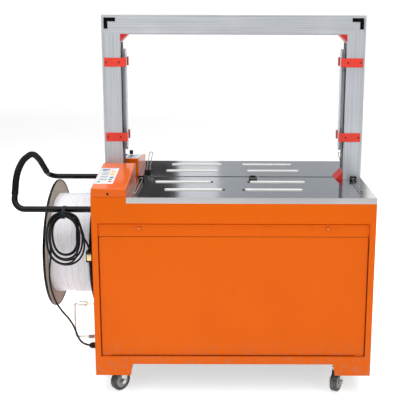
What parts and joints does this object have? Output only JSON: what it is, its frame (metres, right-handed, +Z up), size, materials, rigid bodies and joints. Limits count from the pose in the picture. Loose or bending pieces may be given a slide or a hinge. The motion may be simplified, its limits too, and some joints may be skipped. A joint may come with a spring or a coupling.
{
  "type": "arch strapping machine",
  "caption": "Mobile arch strapping machine: sheet-metal cabinet with a roller-free steel table, aluminium strap arch and a side-mounted strap reel under a tubular guard.",
  "frame": {"origin": "on the floor, under the centre of the machine's bounding box, measured without the power cord", "axes": "+X to the operator's right, +Y away from the operator to the back, +Z up"},
  "size_m": [1.297, 0.64, 1.381],
  "materials": {
    "orange_paint": "glossy powder coat",
    "stainless": "brushed",
    "arch_aluminium": "satin anodised",
    "black_paint": "glossy black",
    "black_plastic": "matt moulded",
    "clip_red": "moulded",
    "guide_red": "moulded",
    "white_plastic": "moulded",
    "strap": "wound strap",
    "flange_board": "pressed board",
    "foam": "foam grip",
    "zinc": "bright zinc",
    "tread": "wheel tread",
    "cord_rubber": "cord jacket",
    "motor_grey": "enamel",
    "box_grey": "powder coat"
  },
  "bodies": {
    "machine": {"side_panel_left": "orange_paint", "side_panel_right": "orange_paint", "front_frame": "orange_paint", "rear_panel": "orange_paint", "control_hood_front": "orange_paint", "control_hood_rear": "orange_paint", "front_table_plate": "stainless", "rear_table_plate": "stainless", "arch_post_left": "arch_aluminium", "arch_post_right": "arch_aluminium", "arch_beam": "arch_aluminium", "chassis": "black_paint", "guard_bar": "black_paint", "brake_bracket": "black_paint", "corner_brackets": "black_paint", "strap_slot_channel": "black_plastic", "bail_blocks": "black_plastic", "cable_gland": "black_plastic", "power_plug": "black_plastic", "gate_clips_left": "clip_red", "gate_clips_right": "clip_red", "corner_guides": "guide_red", "glide_strips": "white_plastic", "guard_handle": "foam", "reel_shaft": "zinc", "caster_plates": "zinc", "power_cord": "cord_rubber", "cord_coil": "cord_rubber", "drive_motor": "motor_grey", "strapping_head_frame": "motor_grey", "electrical_box": "box_grey"},
    "door": {"front_door": "orange_paint"},
    "lock_left": {"door_lock_left": "orange_paint"},
    "lock_right": {"door_lock_right": "orange_paint"},
    "gate_left": {"strap_gate_left": "arch_aluminium"},
    "gate_right": {"strap_gate_right": "arch_aluminium"},
    "anvil": {"sealing_anvil": "black_paint"},
    "switch": {"power_switch": "black_plastic"},
    "knob": {"tension_knob": "black_plastic"},
    "reel": {"reel_flange_inner": "black_paint", "reel_flange_outer": "flange_board", "reel_drum": "flange_board", "strap_roll": "strap", "reel_nut": "black_plastic"},
    "brake": {"brake_arm": "zinc"},
    "brake_wheel": {"brake_roller": "zinc"},
    "bail_fl": {"bail_front_left": "zinc"},
    "bail_fr": {"bail_front_right": "zinc"},
    "bail_rl": {"bail_rear_left": "zinc"},
    "bail_rr": {"bail_rear_right": "zinc"},
    "feed": {"feed_roller": "zinc"},
    "pinch": {"pinch_roller": "zinc"},
    "fork_front_left": {"caster_fork_front_left": "zinc"},
    "wheel_front_left": {"caster_wheel_front_left": "tread"},
    "fork_front_right": {"caster_fork_front_right": "zinc"},
    "wheel_front_right": {"caster_wheel_front_right": "tread"},
    "fork_rear_left": {"caster_fork_rear_left": "zinc"},
    "wheel_rear_left": {"caster_wheel_rear_left": "tread"},
    "fork_rear_right": {"caster_fork_rear_right": "zinc"},
    "wheel_rear_right": {"caster_wheel_rear_right": "tread"}
  },
  "joints": [
    {"name": "door_hinge", "type": "hinge", "parent": "machine", "child": "door", "pos_m": [0.1485, -0.312, 0.163], "axis": [1, 0, 0], "range_deg": [0, 90]},
    {"name": "lock_left_turn", "type": "hinge", "parent": "machine", "child": "lock_left", "pos_m": [-0.1845, -0.312, 0.642], "axis": [0, 1, 0], "range_deg": [0, 90]},
    {"name": "lock_right_turn", "type": "hinge", "parent": "machine", "child": "lock_right", "pos_m": [0.4815, -0.312, 0.642], "axis": [0, 1, 0], "range_deg": [0, 90]},
    {"name": "gate_left_slide", "type": "slide", "parent": "machine", "child": "gate_left", "axis": [1, 0, 0], "range_m": [0, 0.008], "stiffness_N_per_m": 400, "springref_m": -0.002},
    {"name": "gate_right_slide", "type": "slide", "parent": "machine", "child": "gate_right", "axis": [-1, 0, 0], "range_m": [0, 0.008], "stiffness_N_per_m": 400, "springref_m": -0.002},
    {"name": "anvil_slide", "type": "slide", "parent": "machine", "child": "anvil", "axis": [0, 1, 0], "range_m": [0, 0.03], "stiffness_N_per_m": 100, "springref_m": -0.002},
    {"name": "switch_rock", "type": "hinge", "parent": "machine", "child": "switch", "pos_m": [-0.3015, 0.215, 0.798], "axis": [1, 0, 0], "range_deg": [0, 12]},
    {"name": "knob_turn", "type": "hinge", "parent": "machine", "child": "knob", "pos_m": [-0.2855, 0.29, 0.792], "axis": [0, 0, 1], "range_deg": [-135, 135]},
    {"name": "reel_spin", "type": "hinge", "parent": "machine", "child": "reel", "pos_m": [-0.4555, 0, 0.492], "axis": [1, 0, 0], "continuous": true},
    {"name": "brake_swing", "type": "hinge", "parent": "machine", "child": "brake", "pos_m": [-0.4015, -0.24, 0.2], "axis": [1, 0, 0], "range_deg": [-8, 12], "stiffness_Nm_per_rad": 1.5},
    {"name": "brake_roller_spin", "type": "hinge", "parent": "brake", "child": "brake_wheel", "pos_m": [-0.4075, -0.24, 0.33], "axis": [1, 0, 0], "continuous": true},
    {"name": "bail_front_left_lift", "type": "hinge", "parent": "machine", "child": "bail_fl", "pos_m": [-0.2035, -0.05, 0.764], "axis": [-1, 0, 0], "range_deg": [0, 80]},
    {"name": "bail_front_right_lift", "type": "hinge", "parent": "machine", "child": "bail_fr", "pos_m": [0.6105, -0.05, 0.764], "axis": [-1, 0, 0], "range_deg": [0, 80]},
    {"name": "bail_rear_left_lift", "type": "hinge", "parent": "machine", "child": "bail_rl", "pos_m": [-0.1915, 0.07, 0.764], "axis": [1, 0, 0], "range_deg": [-14, 60]},
    {"name": "bail_rear_right_lift", "type": "hinge", "parent": "machine", "child": "bail_rr", "pos_m": [0.5965, 0.07, 0.764], "axis": [1, 0, 0], "range_deg": [-14, 60]},
    {"name": "feed_roller_spin", "type": "hinge", "parent": "machine", "child": "feed", "pos_m": [0.0885, 0, 0.65], "axis": [0, 1, 0], "continuous": true},
    {"name": "pinch_roller_spin", "type": "hinge", "parent": "machine", "child": "pinch", "pos_m": [0.0885, 0, 0.7004], "axis": [0, 1, 0], "continuous": true},
    {"name": "swivel_front_left", "type": "hinge", "parent": "machine", "child": "fork_front_left", "pos_m": [-0.2525, -0.24, 0.091], "axis": [0, 0, 1], "continuous": true},
    {"name": "roll_front_left", "type": "hinge", "parent": "fork_front_left", "child": "wheel_front_left", "pos_m": [-0.2723, -0.2598, 0.0375], "axis": [0.7071, -0.7071, 0], "continuous": true},
    {"name": "swivel_front_right", "type": "hinge", "parent": "machine", "child": "fork_front_right", "pos_m": [0.5495, -0.24, 0.091], "axis": [0, 0, 1], "continuous": true},
    {"name": "roll_front_right", "type": "hinge", "parent": "fork_front_right", "child": "wheel_front_right", "pos_m": [0.5355, -0.26425, 0.0375], "axis": [0.866, -0.5, 0], "continuous": true},
    {"name": "swivel_rear_left", "type": "hinge", "parent": "machine", "child": "fork_rear_left", "pos_m": [-0.2525, 0.24, 0.091], "axis": [0, 0, 1], "continuous": true},
    {"name": "roll_rear_left", "type": "hinge", "parent": "fork_rear_left", "child": "wheel_rear_left", "pos_m": [-0.2665, 0.26425, 0.0375], "axis": [-0.866, -0.5, 0], "continuous": true},
    {"name": "swivel_rear_right", "type": "hinge", "parent": "machine", "child": "fork_rear_right", "pos_m": [0.5495, 0.24, 0.091], "axis": [0, 0, 1], "continuous": true},
    {"name": "roll_rear_right", "type": "hinge", "parent": "fork_rear_right", "child": "wheel_rear_right", "pos_m": [0.52412, 0.22817, 0.0375], "axis": [0.4226, -0.9063, 0], "continuous": true}
  ],
  "couplings": [
    {"joint": "pinch_roller_spin", "follows": "feed_roller_spin", "ratio": -1.5}
  ]
}
